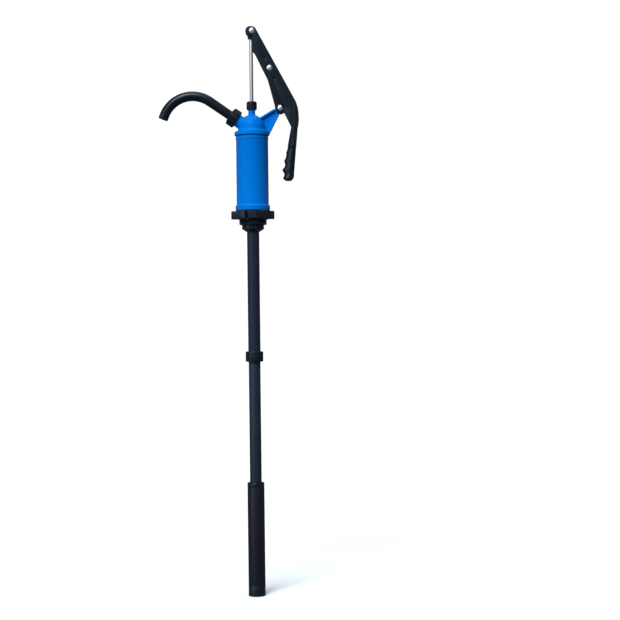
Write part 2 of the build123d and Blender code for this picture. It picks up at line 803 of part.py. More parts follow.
with BuildPart() as rod_end:
    with BuildSketch(Plane.XZ):
        with Locations(rod_end_centre):
            Circle(rod_end_radius)
    extrude(amount=link_half_width, both=True)
    with BuildSketch(Plane.XY.offset(rod_end_bottom)):
        Circle(rod_end_shank_radius)
    extrude(amount=rod_pivot[1] - rod_end_bottom)
    ring(rod_radius, 0, rod_end_bottom, rod_top - rod_end_bottom, Mode.SUBTRACT)
    cross_pin(rod_pivot, bush_radius + fit_gap, -link_half_width, link_half_width, Mode.SUBTRACT)

with BuildPart() as rod_end_bush:
    cross_pin(rod_pivot, bush_radius, -link_half_width, link_half_width)
    cross_pin(rod_pivot, bolt_radius + running_gap, -link_half_width, link_half_width, Mode.SUBTRACT)

# ==== lever ====

arm = (rod_pivot, link_pivot)
arm_head_outer = between(*arm, 0, lever_head_radius)
elbow_outer = (93.8, 246.6)
elbow_middle = (99.7, 218.1)
grip_outer_top = (96.9, 192.3)
grip_outer_foot = (88.4, 94.6)
grip_inner_foot = (65.0, 88.0)
grip_neck = (71.3, 131.0)
lower_bump = ((65.2, 99.5), (64.2, 103.0), (65.4, 106.5))
upper_bump = ((68.4, 119.5), (68.3, 122.8), (69.6, 126.0))
grip_heel = (83.0, grip_bottom)
grip_heel_middle = (86.6, 85.0)
grip_toe = (72.0, grip_bottom)
grip_toe_middle = (66.8, 82.6)
grip_end_hollow = (67.6, 94.0)
grip_middle_hollow = (69.2, 113.0)
elbow_inner = (83.6, 194.6)
arm_inner_top = (7.3, 351.9)
notch_side = rod_pivot[0] + side_gap / 2
notch_foot = 357.2
outer_line = (arm_head_outer, elbow_outer)
channel_foot = math.dist(*outer_line) - channel_end_gap


def at_height(line, height):
    """The point of a sloping line at a height."""
    share = (height - line[0][1]) / (line[1][1] - line[0][1])
    return (line[0][0] + (line[1][0] - line[0][0]) * share, height)


grip_outer_line = (grip_outer_top, grip_outer_foot)
grip_inner_line = (elbow_inner, grip_neck)
grip_top_outer = at_height(grip_outer_line, grip_top)
grip_top_inner = at_height(grip_inner_line, grip_top)
tang_foot = grip_bottom + 2 * tang_inset
tang_outline = (
    (grip_top_inner[0] + tang_inset, grip_top),
    (grip_top_outer[0] - tang_inset, grip_top),
    (at_height(grip_outer_line, tang_foot)[0] - tang_inset, tang_foot),
    (grip_neck[0] + tang_inset / 2, tang_foot),
    (grip_neck[0] + tang_inset, grip_neck[1]),
)

with BuildPart() as lever:
    with BuildSketch(Plane.XZ):
        with BuildLine():
            ThreePointArc(
                (rod_pivot[0], rod_pivot[1] - lever_head_radius),
                between(*arm, *head_arc_middle),
                arm_head_outer,
            )
            Line(arm_head_outer, elbow_outer)
            ThreePointArc(elbow_outer, elbow_middle, grip_outer_top)
            Polyline(
                grip_outer_top,
                grip_top_outer,
                grip_top_inner,
                elbow_inner,
                arm_inner_top,
                (notch_side, notch_foot),
                (rod_pivot[0], rod_pivot[1] - lever_head_radius),
            )
        make_face()
    extrude(amount=cheek_outside, both=True)
    with BuildSketch(Plane.XZ):
        Polygon(
            between(*outer_line, web_start, -lever_web),
            between(*outer_line, channel_foot, -lever_web),
            between(*outer_line, channel_foot, -channel_inner),
            between(*outer_line, -channel_lead, -channel_inner),
            between(*outer_line, -channel_lead, channel_outer),
            between(*outer_line, web_start, channel_outer),
            align=None,
        )
        Polygon(
            between(*outer_line, window_start, window_outer),
            between(*outer_line, window_end, window_outer),
            between(*outer_line, window_end, -window_inner),
            between(*outer_line, window_start, -window_inner),
            align=None,
        )
    extrude(amount=cheek_inside, both=True, mode=Mode.SUBTRACT)
    with BuildSketch(Plane.XZ):
        with Locations(ear_pivot):
            Circle(link_foot_radius + ear_relief)
    extrude(amount=cheek_inside, both=True, mode=Mode.SUBTRACT)
    with BuildSketch(Plane.XZ):
        with Locations(ear_pivot):
            Circle(bolt_head_radius + bolt_relief)
    extrude(amount=cheek_outside, both=True, mode=Mode.SUBTRACT)
    with BuildSketch(Plane.XZ):
        Polygon(*tang_outline, align=None)
    extrude(amount=tang_half_width, both=True)
    for pivot in (rod_pivot, link_pivot):
        cross_pin(pivot, bolt_radius + fit_gap, -cheek_outside, cheek_outside, Mode.SUBTRACT)
    for reach in (-mark_distance, mark_distance):
        mark = between(*arm, math.dist(*arm) + reach)
        cross_pin(mark, mark_radius, -cheek_outside, -cheek_outside + mark_depth, Mode.SUBTRACT)
        cross_pin(mark, mark_radius, cheek_outside - mark_depth, cheek_outside, Mode.SUBTRACT)

with BuildPart() as grip_sleeve:
    with BuildSketch(Plane.XZ):
        with BuildLine():
            Polyline(grip_top_inner, grip_top_outer, grip_outer_foot)
            ThreePointArc(grip_outer_foot, grip_heel_middle, grip_heel)
            Line(grip_heel, grip_toe)
            ThreePointArc(grip_toe, grip_toe_middle, grip_inner_foot)
            ThreePointArc(grip_inner_foot, grip_end_hollow, lower_bump[0])
            ThreePointArc(*lower_bump)
            ThreePointArc(lower_bump[2], grip_middle_hollow, upper_bump[0])
            ThreePointArc(*upper_bump)
            Polyline(upper_bump[2], grip_neck, grip_top_inner)
        make_face()
    extrude(amount=grip_half_width, both=True)
    fillet(grip_sleeve.faces().filter_by(Axis.Y).edges(), grip_round)
    with BuildSketch(Plane.XZ):
        Polygon(*tang_outline, align=None)
    extrude(amount=tang_half_width, both=True, mode=Mode.SUBTRACT)

# ==== bolts of the lever ====

with BuildPart() as rod_end_bolt:
    headed_bolt(rod_pivot, -cheek_outside, cheek_outside + nut_height + bolt_tail)

with BuildPart() as rod_end_nut:
    cross_nut(rod_pivot, cheek_outside, nut_height)

with BuildPart() as link_bolt:
    headed_bolt(link_pivot, -cheek_outside, -cheek_inside)
    cross_pin(link_pivot, bolt_radius, cheek_inside, cheek_outside + nut_height + bolt_tail)

with BuildPart() as link_nut:
    cross_nut(link_pivot, cheek_outside, nut_height)

# ==== every piece is written under its own name ====

pieces = {
    "bung_adaptor": bung_adaptor,
    "bung_gasket": bung_gasket,
    "barrel_gasket": barrel_gasket,
    "barrel": barrel,
    "foot_valve_seat": foot_valve_seat,
    "foot_valve_cage": foot_valve_cage,
    "cage_screws": cage_screws,
    "foot_valve_disc": foot_valve_disc,
    "tube_nut": tube_nut,
    "tube_seal": tube_seal,
    "upper_tube": upper_tube,
    "tube_coupling": tube_coupling,
    "coupling_seals": coupling_seals,
    "middle_tube": middle_tube,
    "stop_collar": stop_collar,
    "stop_collar_seal": stop_collar_seal,
    "lower_tube": lower_tube,
    "tube_cap": tube_cap,
    "slide_seal": slide_seal,
    "foot_strainer": foot_strainer,
    "piston": piston,
    "piston_rings": piston_rings,
    "piston_nut": piston_nut,
    "piston_rod": piston_rod,
    "rod_circlip": rod_circlip,
    "valve_stop": valve_stop,
    "piston_valve": piston_valve,
    "pump_head": pump_head,
    "head_gasket": head_gasket,
    "ear_bush": ear_bush,
    "gland_bush": gland_bush,
    "gland_packing": gland_packing,
    "gland_follower": gland_follower,
    "gland_nut": gland_nut,
    "union_nut": union_nut,
    "outlet_seal": outlet_seal,
    "spout": spout,
    "link": link,
    "ear_bolt": ear_bolt,
    "ear_nut": ear_nut,
    "rod_end": rod_end,
    "rod_end_bush": rod_end_bush,
    "lever": lever,
    "grip_sleeve": grip_sleeve,
    "rod_end_bolt": rod_end_bolt,
    "rod_end_nut": rod_end_nut,
    "link_bolt": link_bolt,
    "link_nut": link_nut,
}
for name, piece in pieces.items():
    piece.part.label = name
    export_step(piece.part, f"parts/{name}.step")
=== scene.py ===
"""Looks of a lever-worked drum barrel pump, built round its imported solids.

Metres in the part's own frame: +Z up along the pump's axis, the spout towards -X, the lever on +X.
Sizes named below are in millimetres and are turned to metres where a mesh is made.
"""

import json
import math

import bmesh
import bpy
from mathutils import Matrix, Vector


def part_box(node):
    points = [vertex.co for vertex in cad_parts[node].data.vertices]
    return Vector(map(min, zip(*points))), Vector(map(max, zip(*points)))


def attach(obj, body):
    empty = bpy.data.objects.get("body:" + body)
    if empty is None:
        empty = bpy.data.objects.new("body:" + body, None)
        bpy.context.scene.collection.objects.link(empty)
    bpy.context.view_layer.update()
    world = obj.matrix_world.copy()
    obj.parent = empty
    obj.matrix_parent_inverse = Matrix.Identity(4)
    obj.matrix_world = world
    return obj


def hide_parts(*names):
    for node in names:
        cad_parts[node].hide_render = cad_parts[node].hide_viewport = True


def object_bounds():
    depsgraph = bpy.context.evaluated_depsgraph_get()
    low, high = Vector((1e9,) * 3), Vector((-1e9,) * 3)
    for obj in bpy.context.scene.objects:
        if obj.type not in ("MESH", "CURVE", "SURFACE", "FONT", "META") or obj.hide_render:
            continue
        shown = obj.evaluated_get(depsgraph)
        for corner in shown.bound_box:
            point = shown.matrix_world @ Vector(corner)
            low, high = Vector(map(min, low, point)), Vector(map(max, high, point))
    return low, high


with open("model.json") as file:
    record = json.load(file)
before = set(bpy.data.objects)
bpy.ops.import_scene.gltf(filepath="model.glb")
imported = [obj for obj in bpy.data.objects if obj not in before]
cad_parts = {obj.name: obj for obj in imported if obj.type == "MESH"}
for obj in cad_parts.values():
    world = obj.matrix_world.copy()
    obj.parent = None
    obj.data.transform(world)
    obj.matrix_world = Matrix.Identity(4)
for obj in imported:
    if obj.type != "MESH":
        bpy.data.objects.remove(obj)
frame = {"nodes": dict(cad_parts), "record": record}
cad_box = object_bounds()

MM = 0.001
scene = bpy.context.scene
body_of = {n: b for b, nodes in frame["record"]["behaviour"]["bodies"].items() for n in nodes}
slot_of = {part["node"]: part["material_slot"] for part in frame["record"]["subparts"]}

# ==== camera ====

CAMERA_PLACE = (0.1187, -3.0, -0.1938)
CAMERA_ROLL = math.radians(-0.65)
CAMERA_LENS = 82.2

camera = bpy.data.objects.new("camera", bpy.data.cameras.new("camera"))
camera.data.lens = CAMERA_LENS
camera.data.sensor_width = 36.0
camera.data.clip_end = 100.0
camera.matrix_world = (
    Matrix.Translation(CAMERA_PLACE)
    @ Matrix.Rotation(math.radians(90), 4, "X")
    @ Matrix.Rotation(CAMERA_ROLL, 4, "Z")
)
scene.collection.objects.link(camera)
scene.camera = camera

# ==== small tools ====


def linear(colour):
    """An sRGB hex colour as linear values."""
    parts = [int(colour[i : i + 2], 16) / 255 for i in (1, 3, 5)]
    return tuple(p / 12.92 if p <= 0.04045 else ((p + 0.055) / 1.055) ** 2.4 for p in parts) + (1.0,)


def per(size_mm):
    """A pattern's scale, in repeats to the metre, from its real size."""
    return 1000.0 / size_mm


def add(tree, kind, inputs=(), **settings):
    """A node with its settings, and with a value or a link for each named or numbered input."""
    made = tree.nodes.new(kind)
    for name, value in settings.items():
        setattr(made, name, value)
    for socket, value in dict(inputs).items():
        if isinstance(value, bpy.types.NodeSocket):
            tree.links.new(value, made.inputs[socket])
        else:
            made.inputs[socket].default_value = value
    return made


# ==== materials ====


def surface(name):
    """An empty material with its output, and the tree that the rest is built in."""
    material = bpy.data.materials.new(name)
    material.use_nodes = True
    tree = material.node_tree
    tree.nodes.clear()
    return material, tree


def blend(tree, share, first, second):
    """A colour between two others."""
    return add(tree, "ShaderNodeMix", {0: share, 6: first, 7: second}, data_type="RGBA").outputs[2]


def spread_over(tree, value, found, wanted):
    """A value moved from the range it is found in to a wanted range, and held inside it."""
    limits = {"From Min": found[0], "From Max": found[1], "To Min": wanted[0], "To Max": wanted[1]}
    return add(tree, "ShaderNodeMapRange", {"Value": value, **limits}, clamp=True).outputs[0]


CLOUD_MM = 22
HAIR_MM = 3
HAIR_TILT = (0.3, 0.5, 0.2)
HAIR_STRETCH = (1.0, 1.0, 0.08)
RUBBED_RANGE = (0.56, 0.72)
SCRATCHED_RANGE = (0.60, 0.74)
NOISE_RANGE = (0.3, 0.7)
WAVE_DEPTH_MM = 0.2
SCUFF_ROUGHNESS = 0.18


def plastic(
    name,
    colour,
    mottle,
    scuff,
    worn,
    rough,
    grain_mm,
    grain_depth,
    stretch=1.0,
    ior=1.49,
    scuffs=0.5,
    sheen=0.25,
    tint="#FFFFFF",
    below=None,
):
    """A plastic or rubber skin: cloudy colour, fine grain, rubbed patches and paler edges.

    stretch draws the pattern out along the pump's axis, as an extruder's die does.
    scuffs is how far rubbed patches take the scuff colour.
    sheen is the strength of the skin's reflection, and tint is that reflection's colour.
    below is a height in mm and the darker colour used under it.
    """
    material, tree = surface(name)
    place = add(tree, "ShaderNodeTexCoord").outputs["Object"]
    drawn_out = {"Vector": place, "Scale": (1.0, 1.0, 1.0 / stretch)}
    drawn = add(tree, "ShaderNodeMapping", drawn_out).outputs["Vector"]
    clouds = add(
        tree,
        "ShaderNodeTexNoise",
        {"Vector": drawn, "Scale": per(CLOUD_MM), "Detail": 4.0, "Roughness": 0.6},
    ).outputs["Fac"]
    grain = add(
        tree,
        "ShaderNodeTexNoise",
        {"Vector": drawn, "Scale": per(grain_mm), "Detail": 3.0},
    ).outputs["Fac"]
    combed = add(
        tree,
        "ShaderNodeMapping",
        {"Vector": drawn, "Rotation": HAIR_TILT, "Scale": HAIR_STRETCH},
    ).outputs["Vector"]
    hairs = add(
        tree,
        "ShaderNodeTexNoise",
        {"Vector": combed, "Scale": per(HAIR_MM), "Detail": 5.0, "Roughness": 0.7},
    ).outputs["Fac"]
    rubbed = spread_over(tree, clouds, RUBBED_RANGE, (0.0, scuffs))
    scratched = spread_over(tree, hairs, SCRATCHED_RANGE, (0.0, 1.0))
    marks = add(tree, "ShaderNodeMath", {0: rubbed, 1: scratched}, operation="MULTIPLY").outputs[0]
    edge = add(tree, "ShaderNodeAttribute", attribute_name="edge_wear").outputs["Fac"]
    worn_edge = add(tree, "ShaderNodeMath", {0: edge, 1: clouds}, operation="MULTIPLY").outputs[0]
    base = blend(tree, clouds, linear(colour), linear(mottle))
    if below:
        height = add(tree, "ShaderNodeSeparateXYZ", {"Vector": place}).outputs["Z"]
        under = add(tree, "ShaderNodeMath", {0: height, 1: below[0] * MM}, operation="LESS_THAN").outputs[0]
        base = blend(tree, under, base, linear(below[1]))
    base = blend(tree, marks, base, linear(scuff))
    base = blend(tree, worn_edge, base, linear(worn))
    gloss = spread_over(tree, grain, NOISE_RANGE, (rough - 0.05, rough + 0.07))
    scuffed_gloss = add(
        tree,
        "ShaderNodeMath",
        {0: marks, 1: SCUFF_ROUGHNESS, 2: gloss},
        operation="MULTIPLY_ADD",
    ).outputs[0]
    wavy = add(
        tree,
        "ShaderNodeBump",
        {"Height": clouds, "Distance": WAVE_DEPTH_MM * MM, "Strength": 0.5},
    ).outputs["Normal"]
    bump = add(
        tree,
        "ShaderNodeBump",
        {"Height": grain, "Distance": grain_depth * MM, "Strength": 1.0, "Normal": wavy},
    ).outputs["Normal"]
    shader = add(
        tree,
        "ShaderNodeBsdfPrincipled",
        {
            "Base Color": base,
            "Roughness": scuffed_gloss,
            "Normal": bump,
            "IOR": ior,
            "Specular IOR Level": sheen,
            "Specular Tint": linear(tint),
        },
    )
    add(tree, "ShaderNodeOutputMaterial", {"Surface": shader.outputs[0]})
    return material


TARNISH_MM = 9


def metal(name, colour, dull, rough, line_mm, line_stretch, line_depth):
    """A bare or plated metal: fine tool lines that change its gloss, and a cloudy tarnish."""
    material, tree = surface(name)
    place = add(tree, "ShaderNodeTexCoord").outputs["Object"]
    drawn = add(tree, "ShaderNodeMapping", {"Vector": place, "Scale": line_stretch}).outputs["Vector"]
    lines = add(
        tree,
        "ShaderNodeTexNoise",
        {"Vector": drawn, "Scale": per(line_mm), "Detail": 4.0, "Roughness": 0.65},
    ).outputs["Fac"]
    bloom = add(
        tree,
        "ShaderNodeTexNoise",
        {"Vector": place, "Scale": per(TARNISH_MM), "Detail": 3.0},
    ).outputs["Fac"]
    base = blend(tree, bloom, linear(colour), linear(dull))
    gloss = spread_over(tree, lines, NOISE_RANGE, (rough - 0.03, rough + 0.04))
    bump = add(tree, "ShaderNodeBump", {"Height": lines, "Distance": line_depth * MM}).outputs["Normal"]
    shader = add(
        tree,
        "ShaderNodeBsdfPrincipled",
        {"Base Color": base, "Metallic": 1.0, "Roughness": gloss, "Normal": bump},
    )
    add(tree, "ShaderNodeOutputMaterial", {"Surface": shader.outputs[0]})
    return material


LOWER_TUBE_TOP = -556.0

materials = {
    # injection-moulded polypropylene with pigment: a waxy satin skin, faintly cloudy where the melt flowed
    "blue_pp": plastic(
        "moulded_blue_polypropylene",
        colour="#0072CE",
        mottle="#006AC6",
        scuff="#1A86D6",
        worn="#2496E4",
        rough=0.42,
        grain_mm=1.6,
        grain_depth=0.02,
        scuffs=0.4,
        sheen=0.18,
        tint="#40C8FF",
    ),
    # moulded black polypropylene: blue-black satin that greys where it is handled and along its edges
    "black_pp": plastic(
        "moulded_black_polypropylene",
        colour="#080C13",
        mottle="#0D121A",
        scuff="#3C4650",
        worn="#2E3842",
        rough=0.31,
        grain_mm=1.4,
        grain_depth=0.03,
        scuffs=0.7,
        sheen=0.32,
        tint="#D8F0FF",
    ),
    # extruded black pipe: long faint die lines and soft scuffs along it, with a darker lower tube
    "black_pipe": plastic(
        "extruded_black_pipe",
        colour="#1B2030",
        mottle="#222838",
        scuff="#3E4554",
        worn="#3A404B",
        rough=0.40,
        grain_mm=1.8,
        grain_depth=0.03,
        stretch=30.0,
        sheen=0.22,
        below=(LOWER_TUBE_TOP, "#12141A"),
    ),
    # centreless-ground stainless bar: lines round it, drawn coarser than real ones so that they show
    "stainless": metal(
        "ground_stainless_bar",
        colour="#BFC0C1",
        dull="#B2B3B5",
        rough=0.50,
        line_mm=1.2,
        line_stretch=(0.15, 0.15, 1.0),
        line_depth=0.0001,
    ),
    # bright zinc plating on steel: silvery blue with a soft cloudy bloom
    "zinc": metal(
        "zinc_plated_steel",
        colour="#E6ECF2",
        dull="#D0D8E0",
        rough=0.30,
        line_mm=1.6,
        line_stretch=(1.0, 1.0, 1.0),
        line_depth=0.002,
    ),
    # moulded nitrile rubber: matt and dusty
    "rubber": plastic(
        "moulded_nitrile_rubber",
        colour="#17181A",
        mottle="#1E1F22",
        scuff="#35373B",
        worn="#2C2E31",
        rough=0.72,
        grain_mm=0.9,
        grain_depth=0.03,
        ior=1.52,
    ),
    # machined acetal: milky white and slightly waxy, with a fine turned grain
    "acetal": plastic(
        "machined_acetal",
        colour="#D5D5CC",
        mottle="#C9C9C0",
        scuff="#B9B9B0",
        worn="#E4E4DC",
        rough=0.42,
        grain_mm=0.8,
        grain_depth=0.01,
        ior=1.48,
        scuffs=0.2,
    ),
}

for name, node in frame["nodes"].items():
    node.data.materials.clear()
    node.data.materials.append(materials[slot_of[name]])

# ==== making and finishing a piece ====

WEAR_START = math.radians(10)
WEAR_FULL = math.radians(32)
SHARP = math.radians(40)


def new_piece(name, mesh):
    """A mesh as an object at the origin, with outward faces, smooth shading and its edge wear marked."""
    work = bmesh.new()
    work.from_mesh(mesh)
    bmesh.ops.remove_doubles(work, verts=work.verts, dist=0.001 * MM)
    bmesh.ops.recalc_face_normals(work, faces=work.faces)
    wear = work.verts.layers.float.new("edge_wear")
    for vertex in work.verts:
        bends = [e.calc_face_angle_signed(0.0) for e in vertex.link_edges if len(e.link_faces) == 2]
        bend = max(bends, default=0.0)
        vertex[wear] = min(1.0, max(0.0, (bend - WEAR_START) / (WEAR_FULL - WEAR_START)))
    work.to_mesh(mesh)
    work.free()
    mesh.shade_smooth()
    mesh.set_sharp_from_angle(angle=SHARP)
    piece = bpy.data.objects.new(name, mesh)
    scene.collection.objects.link(piece)
    return piece


def trim(piece, body_node):
    """A piece that goes with a node's piece and stands for no node of its own."""
    piece.data.materials.clear()
    piece.data.materials.append(materials[slot_of[body_node]])
    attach(piece, body_of[body_node])
    return piece


def finished(piece, *nodes):
    """A piece takes its body and its slot's material from the first of the nodes that it stands for, and
    those nodes are hidden.
    """
    trim(piece, nodes[0])
    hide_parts(*nodes)
    return piece


def plain_mesh(piece, name):
    """The evaluated result of a piece's modifiers as one plain mesh, and the piece is removed."""
    graph = bpy.context.evaluated_depsgraph_get()
    mesh = bpy.data.meshes.new_from_object(piece.evaluated_get(graph))
    mesh.name = name
    bpy.data.objects.remove(piece)
    return mesh


def softened(name, node, radius_mm, steps=3, reshape=None):
    """A node's shape with its corners rounded as a mould rounds them."""
    mesh = frame["nodes"][node].data.copy()
    work = bmesh.new()
    work.from_mesh(mesh)
    bmesh.ops.remove_doubles(work, verts=work.verts, dist=0.002 * MM)
    if reshape:
        reshape(work)
    bmesh.ops.dissolve_limit(work, angle_limit=math.radians(0.6), verts=work.verts, edges=work.edges)
    work.to_mesh(mesh)
    work.free()
    rough = bpy.data.objects.new(name + "_rough", mesh)
    scene.collection.objects.link(rough)
    bevel = rough.modifiers.new("corners", "BEVEL")
    bevel.width = radius_mm * MM
    bevel.segments = steps
    bevel.limit_method = "ANGLE"
    bevel.angle_limit = math.radians(38)
    bevel.miter_outer = "MITER_ARC"
    return finished(new_piece(name, plain_mesh(rough, name)), node)


def rounded(outline, radius, steps=3):
    """A closed outline with its corners rounded, apart from those on the axis."""
    points = []
    count = len(outline)
    for i, here in enumerate(outline):
        here = Vector(here)
        before, after = Vector(outline[i - 1]), Vector(outline[(i + 1) % count])
        if here.x < 1e-6:
            points.append(here)
            continue
        back, ahead = before - here, after - here
        cut = min(radius, 0.4 * back.length, 0.4 * ahead.length)
        start, end = here + back.normalized() * cut, here + ahead.normalized() * cut
        for step in range(steps + 1):
            t = step / steps
            points.append(start * (1 - t) ** 2 + here * 2 * t * (1 - t) + end * t * t)
    return points


def lathe(name, outline, facets=96, place=None):
    """A closed half outline of (radius, height) points turned into a mesh, in millimetres."""
    work = bmesh.new()
    rings = []
    for point in outline:
        if point[0] < 1e-6:
            rings.append([work.verts.new((0, 0, point[1] * MM))] * facets)
            continue
        ring = []
        for i in range(facets):
            turn = 2 * math.pi * i / facets
            reach_out = point[0] * MM
            x, y = reach_out * math.cos(turn), reach_out * math.sin(turn)
            ring.append(work.verts.new((x, y, point[1] * MM)))
        rings.append(ring)
    for a, b in zip(rings, rings[1:] + rings[:1]):
        for i in range(facets):
            j = (i + 1) % facets
            corners = []
            for vertex in (a[i], a[j], b[j], b[i]):
                if vertex not in corners:
                    corners.append(vertex)
            if len(corners) > 2:
                work.faces.new(corners)
    if place:
        work.transform(place)
    mesh = bpy.data.meshes.new(name)
    work.to_mesh(mesh)
    work.free()
    return new_piece(name, mesh)


def reach(node):
    """A turned node's outer radius, bottom and top, in millimetres."""
    low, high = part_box(node)
    return (high.y - low.y) / 2 / MM, low.z / MM, high.z / MM


# ==== geometry node trees ====


def new_tree(name, inputs):
    """A geometry tree with a mesh input, named size inputs and a mesh output."""
    tree = bpy.data.node_groups.new(name, "GeometryNodeTree")
    tree.interface.new_socket("Geometry", in_out="INPUT", socket_type="NodeSocketGeometry")
    for label, (kind, default) in inputs.items():
        socket = tree.interface.new_socket(label, in_out="INPUT", socket_type=kind)
        if default is not None:
            socket.default_value = default
    tree.interface.new_socket("Geometry", in_out="OUTPUT", socket_type="NodeSocketGeometry")
    return tree, tree.nodes.new("NodeGroupInput").outputs


def close_tree(tree, geometry, material):
    """Ends a tree: instances made real, and the material set."""
    real = add(tree, "GeometryNodeRealizeInstances", {0: geometry})
    coated = add(tree, "GeometryNodeSetMaterial", {0: real.outputs[0], "Material": material})
    add(tree, "NodeGroupOutput", {0: coated.outputs[0]})


def grown(name, tree, values, start=None):
    """What a tree makes from a start mesh and its named values, as a plain mesh."""
    seed = bpy.data.objects.new(name + "_seed", start or bpy.data.meshes.new(name + "_seed"))
    scene.collection.objects.link(seed)
    growth = seed.modifiers.new("growth", "NODES")
    growth.node_group = tree
    for item in tree.interface.items_tree:
        if item.in_out == "INPUT" and item.name in values:
            growth[item.identifier] = values[item.name]
    return plain_mesh(seed, name)


LENGTH = "NodeSocketFloat"
COUNT = "NodeSocketInt"
FINISH = "NodeSocketMaterial"

# ribs set round a ring, each a slim upright bar sunk half into the wall behind it
ribs_tree, given = new_tree(
    "ribs_round_a_ring",
    {
        "Count": (COUNT, 24),
        "Radius": (LENGTH, 0.01),
        "Height": (LENGTH, 0.01),
        "Width": (LENGTH, 0.002),
        "Depth": (LENGTH, 0.002),
        "Finish": (FINISH, None),
    },
)
spots = add(ribs_tree, "GeometryNodeMeshCircle", {"Vertices": given["Count"], "Radius": given["Radius"]})
half = add(ribs_tree, "ShaderNodeMath", {0: given["Width"], 1: 0.5}, operation="MULTIPLY")
bar = add(
    ribs_tree,
    "GeometryNodeMeshCylinder",
    {"Vertices": 10, "Radius": half.outputs[0], "Depth": given["Height"]},
)
share = add(ribs_tree, "ShaderNodeMath", {0: given["Depth"], 1: half.outputs[0]}, operation="DIVIDE")
shape = add(ribs_tree, "ShaderNodeCombineXYZ", {"X": share.outputs[0], "Y": 1.0, "Z": 1.0})
flat_bar = add(ribs_tree, "GeometryNodeTransform", {0: bar.outputs["Mesh"], "Scale": shape.outputs[0]})
spot = add(ribs_tree, "GeometryNodeInputPosition")
outward = add(ribs_tree, "FunctionNodeAlignRotationToVector", {"Vector": spot.outputs[0]}, axis="X")
ribs = add(
    ribs_tree,
    "GeometryNodeInstanceOnPoints",
    {"Points": spots.outputs[0], "Instance": flat_bar.outputs[0], "Rotation": outward.outputs[0]},
)
close_tree(ribs_tree, ribs.outputs[0], given["Finish"])

# a screw thread: a ridge of diamond section that climbs round a core, its inner half sunk into the core
thread_tree, given = new_tree(
    "screw_thread",
    {
        "Core Radius": (LENGTH, 0.01),
        "Ridge": (LENGTH, 0.001),
        "Pitch": (LENGTH, 0.002),
        "Length": (LENGTH, 0.01),
        "Finish": (FINISH, None),
    },
)
turns = add(thread_tree, "ShaderNodeMath", {0: given["Length"], 1: given["Pitch"]}, operation="DIVIDE")
climb = add(
    thread_tree,
    "GeometryNodeCurveSpiral",
    {
        "Resolution": 72,
        "Rotations": turns.outputs[0],
        "Start Radius": given["Core Radius"],
        "End Radius": given["Core Radius"],
        "Height": given["Length"],
    },
)
upright = add(thread_tree, "GeometryNodeSetCurveNormal", {0: climb.outputs[0]}, mode="Z_UP")
half_pitch = add(thread_tree, "ShaderNodeMath", {0: given["Pitch"], 1: 0.46}, operation="MULTIPLY")
deep = add(thread_tree, "ShaderNodeMath", {0: given["Ridge"], 1: 2.0}, operation="MULTIPLY")
ridge = add(
    thread_tree,
    "GeometryNodeCurvePrimitiveQuadrilateral",
    {"Width": deep.outputs[0], "Bottom Height": half_pitch.outputs[0], "Top Height": half_pitch.outputs[0]},
    mode="KITE",
)
thread = add(
    thread_tree,
    "GeometryNodeCurveToMesh",
    {0: upright.outputs[0], 1: ridge.outputs[0], "Fill Caps": True},
)
close_tree(thread_tree, thread.outputs[0], given["Finish"])

# a tube swept along a path whose points carry their own radius, with a wall turned in at both ends
tube_tree, given = new_tree(
    "swept_tube",
    {"Facets": (COUNT, 48), "Wall": (LENGTH, 0.002), "Finish": (FINISH, None)},
)
line = add(tube_tree, "GeometryNodeMeshToCurve", {0: given["Geometry"]})
size = add(tube_tree, "GeometryNodeInputNamedAttribute", {"Name": "station_radius"}, data_type="FLOAT")
sized = add(tube_tree, "GeometryNodeSetCurveRadius", {0: line.outputs[0], "Radius": size.outputs[0]})
round_section = add(
    tube_tree,
    "GeometryNodeCurvePrimitiveCircle",
    {"Resolution": given["Facets"], "Radius": 1.0},
)
skin = add(
    tube_tree,
    "GeometryNodeCurveToMesh",
    {0: sized.outputs[0], 1: round_section.outputs[0], "Scale": size.outputs[0]},
)
inward = add(tube_tree, "ShaderNodeMath", {0: given["Wall"], 1: -1.0}, operation="MULTIPLY")
lining = add(
    tube_tree,
    "GeometryNodeExtrudeMesh",
    {0: skin.outputs[0], "Offset Scale": inward.outputs[0], "Individual": False},
    mode="FACES",
)
both = add(tube_tree, "GeometryNodeJoinGeometry")
turned_lining = add(tube_tree, "GeometryNodeFlipFaces", {0: lining.outputs[0]})
tube_tree.links.new(turned_lining.outputs[0], both.inputs[0])
tube_tree.links.new(skin.outputs[0], both.inputs[0])
closed = add(tube_tree, "GeometryNodeMergeByDistance", {0: both.outputs[0], "Distance": 0.000001})
close_tree(tube_tree, closed.outputs[0], given["Finish"])

# domed bolt heads, one on each point of the start mesh, each with a shank behind its dome
heads_tree, given = new_tree(
    "domed_bolt_heads",
    {
        "Radius": (LENGTH, 0.006),
        "Rise": (LENGTH, 0.003),
        "Shank Radius": (LENGTH, 0.003),
        "Shank Length": (LENGTH, 0.01),
        "Finish": (FINISH, None),
    },
)
ball = add(heads_tree, "GeometryNodeMeshUVSphere", {"Segments": 40, "Rings": 20, "Radius": 1.0})
dome_size = add(
    heads_tree,
    "ShaderNodeCombineXYZ",
    {"X": given["Radius"], "Y": given["Rise"], "Z": given["Radius"]},
)
upended = add(heads_tree, "GeometryNodeTransform", {0: ball.outputs["Mesh"], "Rotation": (math.pi / 2, 0, 0)})
dome = add(heads_tree, "GeometryNodeTransform", {0: upended.outputs[0], "Scale": dome_size.outputs[0]})
shank = add(
    heads_tree,
    "GeometryNodeMeshCylinder",
    {"Vertices": 32, "Radius": given["Shank Radius"], "Depth": given["Shank Length"]},
)
middle = add(heads_tree, "ShaderNodeMath", {0: given["Shank Length"], 1: 0.5}, operation="MULTIPLY")
shank_place = add(heads_tree, "ShaderNodeCombineXYZ", {"Y": middle.outputs[0]})
